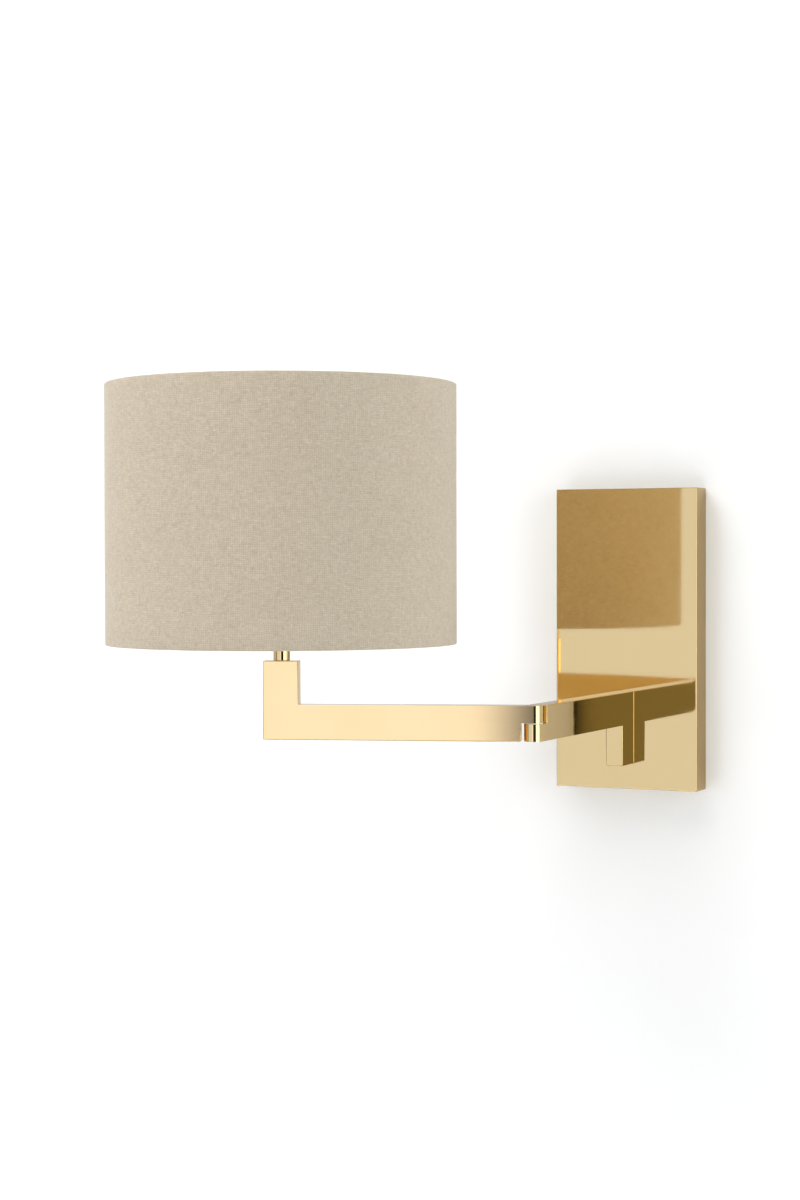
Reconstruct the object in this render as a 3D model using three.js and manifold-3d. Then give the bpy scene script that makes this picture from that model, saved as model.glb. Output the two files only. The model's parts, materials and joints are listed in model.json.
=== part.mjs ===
// A swing arm wall sconce: a brass backplate, a wall arm, an elbow, a lamp arm and a drum shade.
// Millimetres, +Z up. The wall is the plane y = 0 and the room is towards -y.
// The origin is the centre of the wall strap's back, on the wall.

import * as THREE from 'three';
import { mergeVertices } from 'three/addons/utils/BufferGeometryUtils.js';
import Module from 'manifold-3d';

const wasm = await Module();
wasm.setup();

// ---------------------------------------------------------------- driving dimensions

const PLATE = { width: 94, height: 190, depth: 18, sheet: 2 };
const STRAP = { width: 50, thickness: 2, lugWidth: 24, lugReach: 13 };
const BAR = { height: 20.5, thickness: 11, wall: 2, top: -33 };
const WALL_ARM = { reach: 152, postBottom: -79 };
const LAMP_ARM = { reach: 146, postTop: -7.7, restAngle: 19 };
const LAP = { gap: 0.7, step: 7, washer: 0.5 };
const PIN = { outer: 3.3, bore: 2.1, headRadius: 4.4, headThickness: 1.2 };
const CABLE = { radius: 1.25, sides: 8, steps: 64 };
const NECK = { radius: 4.9, tubeRadius: 3.8, tubeBore: 2.5 };
const SHADE = { radius: 101.5, height: 150, bottom: 1.8, fabric: 0.6, liner: 0.5, wire: 1.4 };
const SOCKET = { bottom: 4.3, top: 47, radius: 19, flange: 22 };
const BULB = { radius: 30, top: 126, glass: 0.8 };

// Clearances: between resting pieces, round a pin that turns, and round a screw in its hole.
const REST = 0.1;
const TURN = 0.1;
const SCREW = 0.15;

// ---------------------------------------------------------------- sizes that follow

const barBottom = BAR.top - BAR.height;
const barMiddle = BAR.top - BAR.height / 2;
const halfBar = BAR.thickness / 2;
const pivotY = -(PLATE.depth + WALL_ARM.reach);
const lapLow = barMiddle - LAP.gap / 2;
const lapHigh = barMiddle + LAP.gap / 2;
const channelHalf = halfBar - BAR.wall;
const channelLow = barBottom + BAR.wall;
const channelHigh = BAR.top - BAR.wall;
const counterbore = PIN.headRadius + TURN;
const capThickness = 1.6;
const capInset = 0.2;
const pinLow = lapLow - 5;
const pinHigh = lapHigh + 5;
const armScrewHeights = [-57, -71];
const shadeTop = SHADE.bottom + SHADE.height;
const wireRadius = SHADE.radius - SHADE.fabric - SHADE.liner - SHADE.wire - 0.5;

// ---------------------------------------------------------------- materials

const brass = { color: 0xb9954f, metalness: 1, roughness: 0.16 };
const steel = { color: 0x9a9c9e, metalness: 1, roughness: 0.4 };
const plastic = { color: 0xe6e2d8, metalness: 0, roughness: 0.45 };
const ceramic = { color: 0xf1ede4, metalness: 0, roughness: 0.3 };
const cableSheath = { color: 0xd8d2c4, metalness: 0, roughness: 0.5 };
const rubber = { color: 0x2b2a28, metalness: 0, roughness: 0.8 };
const linen = { color: 0xc9bea2, metalness: 0, roughness: 0.95 };
const styrene = { color: 0xf4f0e6, metalness: 0, roughness: 0.6 };
const glass = { color: 0xf7f5ef, metalness: 0, roughness: 0.15, transparent: true, opacity: 0.5 };

// ---------------------------------------------------------------- shape helpers

function block(x0, x1, y0, y1, z0, z1) {
  const geometry = new THREE.BoxGeometry(x1 - x0, y1 - y0, z1 - z0);
  return geometry.translate((x0 + x1) / 2, (y0 + y1) / 2, (z0 + z1) / 2);
}

function rodAlongZ(radius, z0, z1, sides = 24) {
  const geometry = new THREE.CylinderGeometry(radius, radius, z1 - z0, sides);
  return geometry.rotateX(Math.PI / 2).translate(0, 0, (z0 + z1) / 2);
}

function rodAlongY(radius, y0, y1, x, z, sides = 24) {
  const geometry = new THREE.CylinderGeometry(radius, radius, y1 - y0, sides);
  return geometry.translate(x, (y0 + y1) / 2, z);
}

// Turns a profile of [radius, z] points round the z axis. A profile that starts off the axis is closed.
function turned(profile, sides = 32) {
  const points = profile.map(([radius, z]) => new THREE.Vector2(radius, z));
  if (profile[0][0] > 0) {
    points.push(points[0].clone());
  }
  return new THREE.LatheGeometry(points, sides).rotateX(Math.PI / 2);
}

function ring(inner, outer, z0, z1, sides = 32) {
  return turned([[inner, z0], [outer, z0], [outer, z1], [inner, z1]], sides);
}

function solidOf(geometry) {
  const bare = geometry.clone();
  bare.deleteAttribute('normal');
  bare.deleteAttribute('uv');
  const merged = mergeVertices(bare, 1e-4);
  const corners = merged.index.array;
  const kept = [];
  for (let i = 0; i < corners.length; i += 3) {
    const [a, b, c] = corners.slice(i, i + 3);
    if (a !== b && b !== c && c !== a) {
      kept.push(a, b, c);
    }
  }
  const vertProperties = new Float32Array(merged.getAttribute('position').array);
  return new wasm.Manifold(new wasm.Mesh({ numProp: 3, vertProperties, triVerts: new Uint32Array(kept) }));
}

function geometryOf(solid) {
  const { vertProperties, triVerts } = solid.getMesh();
  const geometry = new THREE.BufferGeometry();
  geometry.setAttribute('position', new THREE.BufferAttribute(vertProperties, 3));
  geometry.setIndex(new THREE.BufferAttribute(triVerts, 1));
  geometry.computeVertexNormals();
  return geometry;
}

function cut(body, ...tools) {
  return geometryOf(tools.reduce((left, tool) => left.subtract(solidOf(tool)), solidOf(body)));
}

function joined(...pieces) {
  return geometryOf(pieces.map(solidOf).reduce((left, piece) => left.add(piece)));
}

function common(first, second) {
  return geometryOf(solidOf(first).intersect(solidOf(second)));
}

// Extrudes an outline drawn in x and z to a thickness centred on y = 0.
function slab(shape, thickness) {
  const geometry = new THREE.ExtrudeGeometry(shape, { depth: thickness, bevelEnabled: false });
  return geometry.translate(0, 0, -thickness / 2).rotateX(Math.PI / 2);
}

function outline(points) {
  return new THREE.Shape(points.map(([x, z]) => new THREE.Vector2(x, z)));
}

// A path through corner points [x, y, z, bend], each corner rounded over its bend length.
function routed(corners) {
  const path = new THREE.CurvePath();
  let from = new THREE.Vector3(...corners[0]);
  for (let i = 1; i < corners.length - 1; i += 1) {
    const [x, y, z, bend] = corners[i];
    const corner = new THREE.Vector3(x, y, z);
    const before = new THREE.Vector3(...corners[i - 1].slice(0, 3)).sub(corner).setLength(bend).add(corner);
    const after = new THREE.Vector3(...corners[i + 1].slice(0, 3)).sub(corner).setLength(bend).add(corner);
    path.add(new THREE.LineCurve3(from, before));
    path.add(new THREE.QuadraticBezierCurve3(before, corner, after));
    from = after;
  }
  path.add(new THREE.LineCurve3(from, new THREE.Vector3(...corners[corners.length - 1])));
  return path;
}

function cableAlong(corners) {
  const section = new THREE.Shape();
  section.absarc(0, 0, CABLE.radius, 0, 2 * Math.PI);
  return new THREE.ExtrudeGeometry(section, {
    steps: CABLE.steps,
    curveSegments: CABLE.sides / 2,
    bevelEnabled: false,
    extrudePath: routed(corners),
  });
}

function piece(group, name, geometry, look) {
  const mesh = new THREE.Mesh(geometry, new THREE.MeshStandardMaterial(look));
  mesh.name = name;
  group.add(mesh);
  return mesh;
}

// A cap-head screw that points along -y from the underside of its head at y = 0.
function capScrew(radius, length, headRadius, headHeight) {
  const body = turned([[0, -headHeight], [headRadius, -headHeight], [headRadius, 0], [radius, 0],
    [radius, length], [0, length]], 24);
  const socket = rodAlongZ(headRadius * 0.5, -headHeight - 1, -headHeight * 0.4, 6);
  return cut(body, socket).rotateX(Math.PI / 2);
}

const sconce = new THREE.Group();

// ---------------------------------------------------------------- wall strap and its fittings

const coverScrew = { radius: 1.95, y: -8, length: 10 };
const wallHoleSpacing = 83.3;
const supplyHole = { radius: 9, z: 64 };
const earth = { x: 17, z: -22, radius: 1.9 };

function wallStrap() {
  const half = PLATE.height / 2 - PLATE.sheet - 0.4;
  const lugs = [1, -1].map((side) => {
    const halfLug = STRAP.lugWidth / 2;
    const lug = block(-halfLug, halfLug, -STRAP.lugReach, 0, half - STRAP.thickness, half);
    return side > 0 ? lug : lug.rotateY(Math.PI);
  });
  const strip = block(-STRAP.width / 2, STRAP.width / 2, -STRAP.thickness, 0, -half, half);
  const wallHoles = [1, -1].map((side) => rodAlongY(2.4, -5, 1, 0, side * wallHoleSpacing / 2));
  const screwHole = rodAlongZ(coverScrew.radius + SCREW, -half - 1, half + 1).translate(0, coverScrew.y, 0);
  const supply = rodAlongY(supplyHole.radius, -5, 1, 0, supplyHole.z);
  const earthHole = rodAlongY(earth.radius + SCREW, -5, 1, earth.x, earth.z);
  return cut(joined(strip, ...lugs), ...wallHoles, screwHole, supply, earthHole);
}

piece(sconce, 'wall_strap', wallStrap(), steel);

const earthScrew = capScrew(earth.radius, 1.8, 3.4, 2.2).rotateX(Math.PI);
piece(sconce, 'earth_screw', earthScrew, brass).position.set(earth.x, -STRAP.thickness - REST, earth.z);

// ---------------------------------------------------------------- backplate cover

function backplateCover() {
  const { width, height, depth, sheet } = PLATE;
  const shell = block(-width / 2, width / 2, -depth, 0, -height / 2, height / 2);
  const inside = block(sheet - width / 2, width / 2 - sheet, sheet - depth, 1, sheet - height / 2,
    height / 2 - sheet);
  const cableHole = rodAlongY(4.1, -depth - 1, 0, 0, barMiddle);
  const screwHoles = armScrewHeights.map((z) => rodAlongY(2.3, -depth - 1, 0, 0, z));
  const edgeHoles = rodAlongZ(coverScrew.radius + SCREW, -height, height).translate(0, coverScrew.y, 0);
  return cut(shell, inside, cableHole, ...screwHoles, edgeHoles);
}

piece(sconce, 'backplate_cover', backplateCover(), brass);

function gripScrew() {
  const socket = rodAlongZ(1, coverScrew.length - 1.6, coverScrew.length + 1, 6);
  return cut(rodAlongZ(coverScrew.radius, 0, coverScrew.length, 24), socket);
}

const gripStart = PLATE.height / 2 - 0.4 - coverScrew.length;
piece(sconce, 'cover_screw_top', gripScrew(), steel).position.set(0, coverScrew.y, gripStart);
const lowerGrip = piece(sconce, 'cover_screw_bottom', gripScrew(), steel);
lowerGrip.position.set(0, coverScrew.y, -gripStart);
lowerGrip.rotation.x = Math.PI;

// ---------------------------------------------------------------- arm fixing, inside the cover

const backingFront = PLATE.sheet - PLATE.depth + REST;
const backingBack = backingFront + 3;
const bushFlange = { radius: 5.6, thickness: 1.2 };

function armBackingPlate() {
  const plate = block(-16, 16, backingFront, backingBack, -81, -35);
  const cableHole = rodAlongY(bushFlange.radius + 0.4, -PLATE.depth, 0, 0, barMiddle);
  const screwHoles = armScrewHeights.map((z) => rodAlongY(2.2, -PLATE.depth, 0, 0, z));
  return cut(plate, cableHole, ...screwHoles);
}

piece(sconce, 'arm_backing_plate', armBackingPlate(), steel);

armScrewHeights.forEach((z, index) => {
  const screw = capScrew(1.95, 16.5, 3.5, 2.6);
  const name = index === 0 ? 'arm_screw_upper' : 'arm_screw_lower';
  piece(sconce, name, screw, steel).position.set(0, backingBack + REST, z);
});

function cableBush() {
  const back = PLATE.depth - PLATE.sheet - REST;
  const inner = CABLE.radius + 0.45;
  return turned([[inner, back - bushFlange.thickness], [bushFlange.radius, back - bushFlange.thickness],
    [bushFlange.radius, back], [3.9, back], [3.9, PLATE.depth], [inner, PLATE.depth]]).rotateX(Math.PI / 2);
}

piece(sconce, 'cable_bush', cableBush(), rubber).position.set(0, 0, barMiddle);

// ---------------------------------------------------------------- terminal block

const terminals = { spacing: 10, bottom: 22, top: 38, wireY: -7, screwZ: 30 };
const terminalPlaces = [-1, 0, 1].map((place) => place * terminals.spacing);

function terminalBlock() {
  const wireHoles = terminalPlaces.map((x) => (
    rodAlongZ(1.7, terminals.bottom - 1, terminals.top + 1, 16).translate(x, terminals.wireY, 0)));
  const wells = terminalPlaces.map((x) => rodAlongY(2, -14, terminals.wireY, x, terminals.screwZ, 20));
  const grooves = [-1, 1].map((side) => (
    block(side * 5 - 0.6, side * 5 + 0.6, -14, -10, terminals.bottom - 1, terminals.top + 1)));
  const body = block(-15, 15, -13, -STRAP.thickness - REST, terminals.bottom, terminals.top);
  return cut(body, ...wireHoles, ...wells, ...grooves);
}

piece(sconce, 'terminal_block', terminalBlock(), plastic);

terminalPlaces.forEach((x, index) => {
  const slotted = cut(rodAlongY(1.8, -12.4, -9, x, terminals.screwZ, 20),
    block(x - 3, x + 3, -13, -11.8, terminals.screwZ - 0.3, terminals.screwZ + 0.3));
  piece(sconce, `terminal_screw_${index + 1}`, slotted, steel);
});

// ---------------------------------------------------------------- arms

const lowPassage = pinLow - 0.1;
const highPassage = pinHigh + 0.1;
const passageHeight = 2.9;
const lowCableHeight = lowPassage - passageHeight / 2;
const highCableHeight = highPassage + passageHeight / 2;

// Cuts a side outline to the arm's plan: parallel sides and a round end about the pivot.
function armBar(side, farEnd) {
  const plan = new THREE.Shape();
  plan.moveTo(farEnd + 1, -halfBar);
  plan.lineTo(farEnd + 1, halfBar);
  plan.lineTo(0, halfBar);
  plan.absarc(0, 0, halfBar, Math.PI / 2, 3 * Math.PI / 2);
  const post = new THREE.ExtrudeGeometry(plan, { depth: 200, bevelEnabled: false, curveSegments: 20 });
  return common(slab(side, BAR.thickness), post.translate(0, 0, -140));
}

// The wall arm lies along local +x from the elbow to the plate, and its post runs down the plate.
function wallArm() {
  const end = WALL_ARM.reach - REST;
  const post = end - BAR.height;
  const side = outline([[-halfBar, barBottom], [post, barBottom], [post, WALL_ARM.postBottom],
    [end, WALL_ARM.postBottom], [end, BAR.top], [LAP.step, BAR.top], [LAP.step, lapLow], [-halfBar, lapLow]]);
  const start = LAP.step + BAR.wall;
  const channel = block(start, end + 1, -channelHalf, channelHalf, channelLow, channelHigh);
  const passage = block(0, start + 1, -1.9, 1.9, lowPassage - passageHeight, lowPassage);
  const bore = rodAlongZ(PIN.outer + TURN, pinLow - 1, lapLow + 1);
  const recess = rodAlongZ(counterbore, barBottom - 1, pinLow + PIN.headThickness + TURN);
  const tapped = armScrewHeights.map((z) => (
    rodAlongZ(2.1, -1, 16, 24).rotateY(-Math.PI / 2).translate(end, 0, z)));
  return cut(armBar(side, end), channel, passage, bore, recess, ...tapped);
}

// The lamp arm lies along local +x from the elbow to the lamp, and its post stands up under the neck.
function lampArm() {
  const end = LAMP_ARM.reach + BAR.height / 2;
  const post = end - BAR.height;
  const side = outline([[-halfBar, lapHigh], [LAP.step, lapHigh], [LAP.step, barBottom], [end, barBottom],
    [end, LAMP_ARM.postTop], [post, LAMP_ARM.postTop], [post, BAR.top], [-halfBar, BAR.top]]);
  const start = LAP.step + BAR.wall;
  const channel = block(start, end - BAR.wall, -channelHalf, channelHalf, channelLow, channelHigh);
  const riser = block(post + BAR.wall, end - BAR.wall, -channelHalf, channelHalf, channelHigh - 1,
    LAMP_ARM.postTop - 13);
  const passage = block(0, start + 1, -1.9, 1.9, highPassage, highPassage + passageHeight);
  const bore = rodAlongZ(PIN.outer + TURN, lapHigh - 1, pinHigh);
  const recess = rodAlongZ(counterbore, pinHigh - 1.4, BAR.top + 1);
  const tapped = rodAlongZ(NECK.tubeRadius + REST, -25, 0).translate(LAMP_ARM.reach, 0, 0);
  return cut(armBar(side, end), channel, riser, passage, bore, recess, tapped);
}

const fixedArm = new THREE.Group();
fixedArm.position.set(0, pivotY, 0);
fixedArm.rotation.z = Math.PI / 2;
sconce.add(fixedArm);
piece(fixedArm, 'wall_arm', wallArm(), brass);

const swing = new THREE.Group();
swing.position.set(0, pivotY, 0);
swing.rotation.z = Math.PI + THREE.MathUtils.degToRad(LAMP_ARM.restAngle);
sconce.add(swing);
piece(swing, 'lamp_arm', lampArm(), brass);

// ---------------------------------------------------------------- elbow

function pivotPin() {
  const { outer, bore, headRadius, headThickness } = PIN;
  return turned([[bore, pinLow], [headRadius, pinLow], [headRadius, pinLow + headThickness],
    [outer, pinLow + headThickness], [outer, pinHigh], [bore, pinHigh]]);
}

const washerLow = barMiddle - LAP.washer / 2;
const clipInner = PIN.outer + TURN;
const springLow = pinHigh - 1.4 + TURN;
const springHigh = springLow + 0.4;
const clipLow = springHigh + TURN;

const frictionWasher = ring(clipInner, halfBar - 0.2, washerLow, washerLow + LAP.washer);

piece(fixedArm, 'pivot_pin', pivotPin(), steel);
piece(fixedArm, 'friction_washer', frictionWasher, plastic);
piece(fixedArm, 'spring_washer', ring(clipInner, PIN.headRadius, springLow, springHigh), steel);

function retainingClip() {
  const full = ring(clipInner, PIN.headRadius, clipLow, pinHigh - 0.1);
  return cut(full, block(-PIN.headRadius - 1, 0, -1, 1, clipLow - 1, pinHigh + 1));
}

piece(fixedArm, 'retaining_clip', retainingClip(), steel);

const lowerCapLow = barBottom + capInset;
piece(fixedArm, 'lower_pivot_cap', rodAlongZ(PIN.headRadius, lowerCapLow, lowerCapLow + capThickness), brass);
const upperCapHigh = BAR.top - capInset;
piece(swing, 'upper_pivot_cap', rodAlongZ(PIN.headRadius, upperCapHigh - capThickness, upperCapHigh), brass);

// ---------------------------------------------------------------- cable, in two lengths that meet in the pin

const cableJoin = 0.15;

piece(sconce, 'supply_cable', cableAlong([
  [0, terminals.wireY, terminals.bottom - 0.5],
  [0, terminals.wireY, barMiddle, 7.5],
  [0, pivotY + 22, barMiddle, 4],
  [0, pivotY + 14, lowCableHeight, 4],
  [0, pivotY, lowCableHeight, 2.4],
  [0, pivotY, barMiddle - cableJoin],
]), cableSheath);

const cableTop = SOCKET.bottom + 7.2;

piece(swing, 'lamp_cable', cableAlong([
  [0, 0, barMiddle + cableJoin],
  [0, 0, highCableHeight, 2.4],
  [14, 0, highCableHeight, 4],
  [22, 0, barMiddle, 4],
  [LAMP_ARM.reach, 0, barMiddle, 9],
  [LAMP_ARM.reach, 0, cableTop],
]), cableSheath);

// ---------------------------------------------------------------- neck and lampholder

const lamp = new THREE.Group();
lamp.position.set(LAMP_ARM.reach, 0, 0);
swing.add(lamp);

const tubeTop = SOCKET.bottom + 5.7;
piece(lamp, 'threaded_tube', ring(NECK.tubeBore, NECK.tubeRadius, LAMP_ARM.postTop - 16, tubeTop, 32), steel);
piece(lamp, 'neck_sleeve', ring(NECK.tubeRadius + 0.2, NECK.radius, LAMP_ARM.postTop + REST,
  SOCKET.bottom - REST), brass);

const skirtBottom = SOCKET.bottom + 14;
const skirtInner = SOCKET.radius - 1.4;
const seat = skirtBottom + 2;

function lampholderBase() {
  const { bottom, radius } = SOCKET;
  const hole = NECK.tubeRadius + 0.3;
  const wallHalf = 1.6;
  return turned([[hole, bottom], [10, bottom], [radius, bottom + 8], [radius, skirtBottom - REST],
    [radius - wallHalf, skirtBottom - REST], [radius - wallHalf, bottom + 8.6], [9.4, bottom + wallHalf],
    [hole, bottom + wallHalf]]);
}

function baseLockNut() {
  const low = SOCKET.bottom + 1.6 + REST;
  return cut(rodAlongZ(7.2, low, low + 2.5, 6), rodAlongZ(NECK.tubeRadius + 0.2, low - 1, low + 4));
}

function lampholderInsert() {
  const low = SOCKET.bottom + 8.7;
  const body = turned([[0, low], [skirtInner - 0.5, low], [skirtInner - 0.5, seat - 0.3], [0, seat - 0.3]]);
  const wireHoles = [-1, 1].map((side) => rodAlongZ(1.6, low - 1, seat + 1, 16).translate(side * 8.5, 0, 0));
  return cut(body, ...wireHoles);
}

function lampholderSkirt() {
  const { radius, top, flange } = SOCKET;
  return turned([[skirtInner, skirtBottom], [flange, skirtBottom], [flange, seat], [radius, seat],
    [radius, top], [skirtInner, top]]);
}

function centreContact() {
  return turned([[0, seat], [4.2, seat], [4.2, seat + 0.5], [2.6, seat + 2.1], [0, seat + 2.1]], 24);
}

piece(lamp, 'lampholder_base', lampholderBase(), plastic);
piece(lamp, 'base_lock_nut', baseLockNut(), steel);
piece(lamp, 'lampholder_insert', lampholderInsert(), ceramic);
piece(lamp, 'lampholder_skirt', lampholderSkirt(), plastic);
piece(lamp, 'centre_contact', centreContact(), brass);
piece(lamp, 'screw_shell', ring(13.9, 14.5, seat, SOCKET.top - 1.5), brass);

// ---------------------------------------------------------------- shade carrier

const carrierLow = seat + 0.2;
const carrierHigh = carrierLow + 1.5;
const shadeRing = { low: carrierHigh + 0.2, height: 6, radius: 23.5 };

function hoop(z) {
  return new THREE.TorusGeometry(wireRadius, SHADE.wire, 8, 60).translate(0, 0, z);
}

function spoke(angle) {
  const start = new THREE.Vector3(23.5, 0, (carrierLow + carrierHigh) / 2);
  const end = new THREE.Vector3(wireRadius, 0, SHADE.bottom + SHADE.wire + 0.8);
  const run = end.clone().sub(start);
  const rod = new THREE.CylinderGeometry(1.2, 1.2, run.length(), 10);
  rod.applyQuaternion(new THREE.Quaternion().setFromUnitVectors(new THREE.Vector3(0, 1, 0), run.normalize()));
  const middle = start.add(end).multiplyScalar(0.5);
  return rod.translate(middle.x, middle.y, middle.z).rotateZ(angle);
}

function lowerFrame() {
  const spokes = [0, 1, 2].map((index) => spoke(index * 2 * Math.PI / 3));
  const collar = ring(SOCKET.radius + 0.4, 25, carrierLow, carrierHigh);
  return joined(collar, ...spokes, hoop(SHADE.bottom + SHADE.wire + 0.8));
}

function knurledRing() {
  const { low, height, radius } = shadeRing;
  const notches = Array.from({ length: 18 }, (_, index) => (
    rodAlongZ(1, low - 1, low + height + 1, 8).translate(radius + 0.3, 0, 0).rotateZ(index * Math.PI / 9)));
  return cut(ring(SOCKET.radius + 0.3, radius, low, low + height), ...notches);
}

piece(lamp, 'shade_lower_frame', lowerFrame(), steel);
piece(lamp, 'shade_ring', knurledRing(), plastic);
piece(lamp, 'shade_upper_hoop', hoop(shadeTop - SHADE.wire - 0.8), steel);

// ---------------------------------------------------------------- bulb

function bulbCap() {
  const top = SOCKET.top - REST;
  const wall = 1.4;
  return turned([[0, seat + 2.4], [4.5, seat + 2.4], [5.5, seat + 3.4], [13, seat + 6], [13, top],
    [13 - wall, top], [13 - wall, seat + 8], [0, seat + 7]]);
}

// The envelope widens from the neck into a sphere; it is open at the neck, where it sits on the cap.
function bulbGlass() {
  const neck = SOCKET.top + REST;
  const centre = BULB.top - BULB.radius;
  const flare = new THREE.CubicBezierCurve(new THREE.Vector2(13.4, neck), new THREE.Vector2(14, neck + 16),
    new THREE.Vector2(BULB.radius - 1, centre - 22), new THREE.Vector2(BULB.radius, centre));
  const outside = flare.getPoints(7).map((point) => [point.x, point.y]);
  const arc = [1, 2, 3, 4, 5, 6, 7].map((step) => {
    const angle = step * Math.PI / 14;
    return [BULB.radius * Math.cos(angle), centre + BULB.radius * Math.sin(angle)];
  });
  arc[arc.length - 1][0] = 0;
  const outer = [[0, neck], ...outside, ...arc];
  const inner = outer.map(([radius, z]) => [Math.max(0, radius - BULB.glass), z - BULB.glass]);
  const hollow = turned([[0, neck - 2], ...inner.slice(1)], 28);
  return cut(turned(outer, 28), hollow);
}

piece(lamp, 'bulb_cap', bulbCap(), brass);
piece(lamp, 'bulb_glass', bulbGlass(), glass);

// ---------------------------------------------------------------- shade

const fabricInner = SHADE.radius - SHADE.fabric;
const linerOuter = fabricInner - 0.3;
const linerInner = linerOuter - SHADE.liner;
const shadeLiner = ring(linerInner, linerOuter, SHADE.bottom + 0.4, shadeTop - 0.4, 80);
const shadeFabric = ring(fabricInner, SHADE.radius, SHADE.bottom, shadeTop, 80);

piece(lamp, 'shade_liner', shadeLiner, styrene);
piece(lamp, 'shade_fabric', shadeFabric, linen);

export default sconce;
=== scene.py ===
import json
import math

import bmesh
import bpy
import numpy as np
from mathutils import Matrix, Vector


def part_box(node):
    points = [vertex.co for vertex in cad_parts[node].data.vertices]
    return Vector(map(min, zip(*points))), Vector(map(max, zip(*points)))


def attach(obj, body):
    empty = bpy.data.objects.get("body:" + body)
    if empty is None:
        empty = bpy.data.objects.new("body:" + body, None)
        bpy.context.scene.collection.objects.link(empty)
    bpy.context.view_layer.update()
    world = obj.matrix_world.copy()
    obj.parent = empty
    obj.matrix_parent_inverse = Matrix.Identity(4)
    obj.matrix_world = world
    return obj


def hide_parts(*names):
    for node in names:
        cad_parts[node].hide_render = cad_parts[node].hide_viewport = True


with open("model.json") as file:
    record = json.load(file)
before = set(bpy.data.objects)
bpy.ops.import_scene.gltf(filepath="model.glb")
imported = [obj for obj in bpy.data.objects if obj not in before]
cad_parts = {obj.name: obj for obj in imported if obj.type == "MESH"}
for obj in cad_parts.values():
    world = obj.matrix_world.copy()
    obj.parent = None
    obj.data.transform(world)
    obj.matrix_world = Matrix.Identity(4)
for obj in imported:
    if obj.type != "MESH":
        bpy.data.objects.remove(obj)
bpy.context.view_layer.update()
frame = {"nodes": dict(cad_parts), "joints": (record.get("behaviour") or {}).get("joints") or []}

# The swing arm wall sconce's looks, in metres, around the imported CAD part.
# The wall is y = 0, the room is towards -y and z points up.
MM = 0.001
WALL_SIDE = "wall_side"
LAMP_SIDE = "lamp_side"

# ---------------------------------------------------------------- places worked out from the frame

fabric_low, fabric_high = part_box("shade_fabric")
shade_axis = (fabric_low + fabric_high) / 2
shade_bottom = fabric_low.z
shade_top = fabric_high.z
shade_radius = (fabric_high.y - fabric_low.y) / 2
hoop_low, hoop_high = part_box("shade_upper_hoop")
wire_radius = (hoop_high.z - hoop_low.z) / 2
hoop_radius = (hoop_high.y - hoop_low.y) / 2 - wire_radius
plate_low, plate_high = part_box("backplate_cover")
elbow = Vector(frame["joints"][0]["pos_m"])
arm_direction = Vector((shade_axis.x - elbow.x, shade_axis.y - elbow.y, 0)).normalized()
arm_angle = math.atan2(arm_direction.y, arm_direction.x)


def at_lamp(z=0.0):
    """A point on the lamp's own axis."""
    return Vector((shade_axis.x, shade_axis.y, z))


# ---------------------------------------------------------------- camera

# Fitted to the photo's edges. Angles are in degrees, the lens and its sensor in millimetres.
CAMERA = {
    "place": (0.4900, -1.3538, 0.0525),
    "turn": 25.9,
    "tilt": -1.12,
    "roll": -0.12,
    "lens": 67.14,
    "sensor": 36,
}


def make_camera():
    turn, tilt, roll = (math.radians(CAMERA[key]) for key in ("turn", "tilt", "roll"))
    forward = Vector((-math.sin(turn) * math.cos(tilt), math.cos(turn) * math.cos(tilt), math.sin(tilt)))
    right = forward.cross(Vector((0, 0, 1))).normalized()
    up = right.cross(forward)
    leaning_right = right * math.cos(roll) + up * math.sin(roll)
    leaning_up = up * math.cos(roll) - right * math.sin(roll)
    data = bpy.data.cameras.new("camera")
    data.lens = CAMERA["lens"]
    data.sensor_width = CAMERA["sensor"]
    camera = bpy.data.objects.new("camera", data)
    axes = Matrix((leaning_right, leaning_up, -forward)).transposed()
    camera.matrix_world = Matrix.Translation(CAMERA["place"]) @ axes.to_4x4()
    bpy.context.scene.collection.objects.link(camera)
    bpy.context.scene.camera = camera


make_camera()

# ---------------------------------------------------------------- materials

# A Mix node's sockets for colours come after those for numbers and vectors.
MIX_FACTOR, MIX_FIRST, MIX_SECOND, MIX_RESULT = 0, 6, 7, 2


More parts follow.
